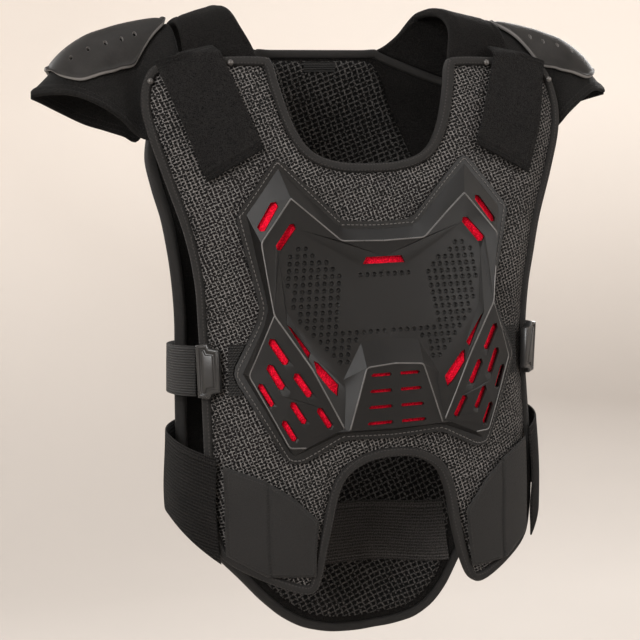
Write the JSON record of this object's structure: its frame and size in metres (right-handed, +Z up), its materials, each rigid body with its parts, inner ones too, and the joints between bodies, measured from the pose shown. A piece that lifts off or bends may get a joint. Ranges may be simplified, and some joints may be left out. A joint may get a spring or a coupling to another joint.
{
  "type": "armour vest",
  "caption": "Padded sleeveless armour vest with a vented moulded chest plate, hard shoulder caps over flared wings, buckled sides and a waist belt, shown worn and empty.",
  "frame": {"origin": "midway between the shoulders, at the height where the yokes rest on them", "axes": "+Z up along the back, +X towards the wearer's left side, -Y out of the chest"},
  "size_m": [0.6007, 0.1953, 0.6282],
  "materials": {
    "air_mesh": "black knitted air mesh with grey threads",
    "pad_mesh": "black honeycomb spacer mesh",
    "binding_tape": "black woven binding tape",
    "padded_cloth": "black smooth knit over foam",
    "moulded_plate": "satin black, fine grain",
    "vent_cloth": "saturated red cloth",
    "shoulder_cap": "satin dark grey",
    "hook_loop": "charcoal hook-and-loop pile",
    "rivet": "small bright rivet",
    "webbing": "black woven webbing",
    "buckle": "black moulded plastic",
    "elastic": "black ribbed elastic",
    "leather": "smooth dark grey imitation leather",
    "label": "bare woven label"
  },
  "bodies": {
    "root": {"front_panel": "air_mesh", "front_binding": "binding_tape", "back_panel": "padded_cloth", "back_binding": "binding_tape", "back_pad": "pad_mesh", "neck_label": "label", "chest_plate": "moulded_plate", "vent_liner": "vent_cloth", "left_yoke": "padded_cloth", "right_yoke": "padded_cloth", "left_wing": "padded_cloth", "right_wing": "padded_cloth", "left_cap": "shoulder_cap", "right_cap": "shoulder_cap", "left_shoulder_strap": "hook_loop", "right_shoulder_strap": "hook_loop", "left_inner_rivet": "rivet", "right_inner_rivet": "rivet", "left_outer_rivet": "rivet", "right_outer_rivet": "rivet", "left_side_web": "webbing", "right_side_web": "webbing", "left_buckle": "buckle", "right_buckle": "buckle", "left_side_tab": "webbing", "right_side_tab": "webbing", "left_belt": "elastic", "right_belt": "elastic", "left_flap": "leather", "right_flap": "leather", "inner_band": "elastic"}
  },
  "joints": []
}
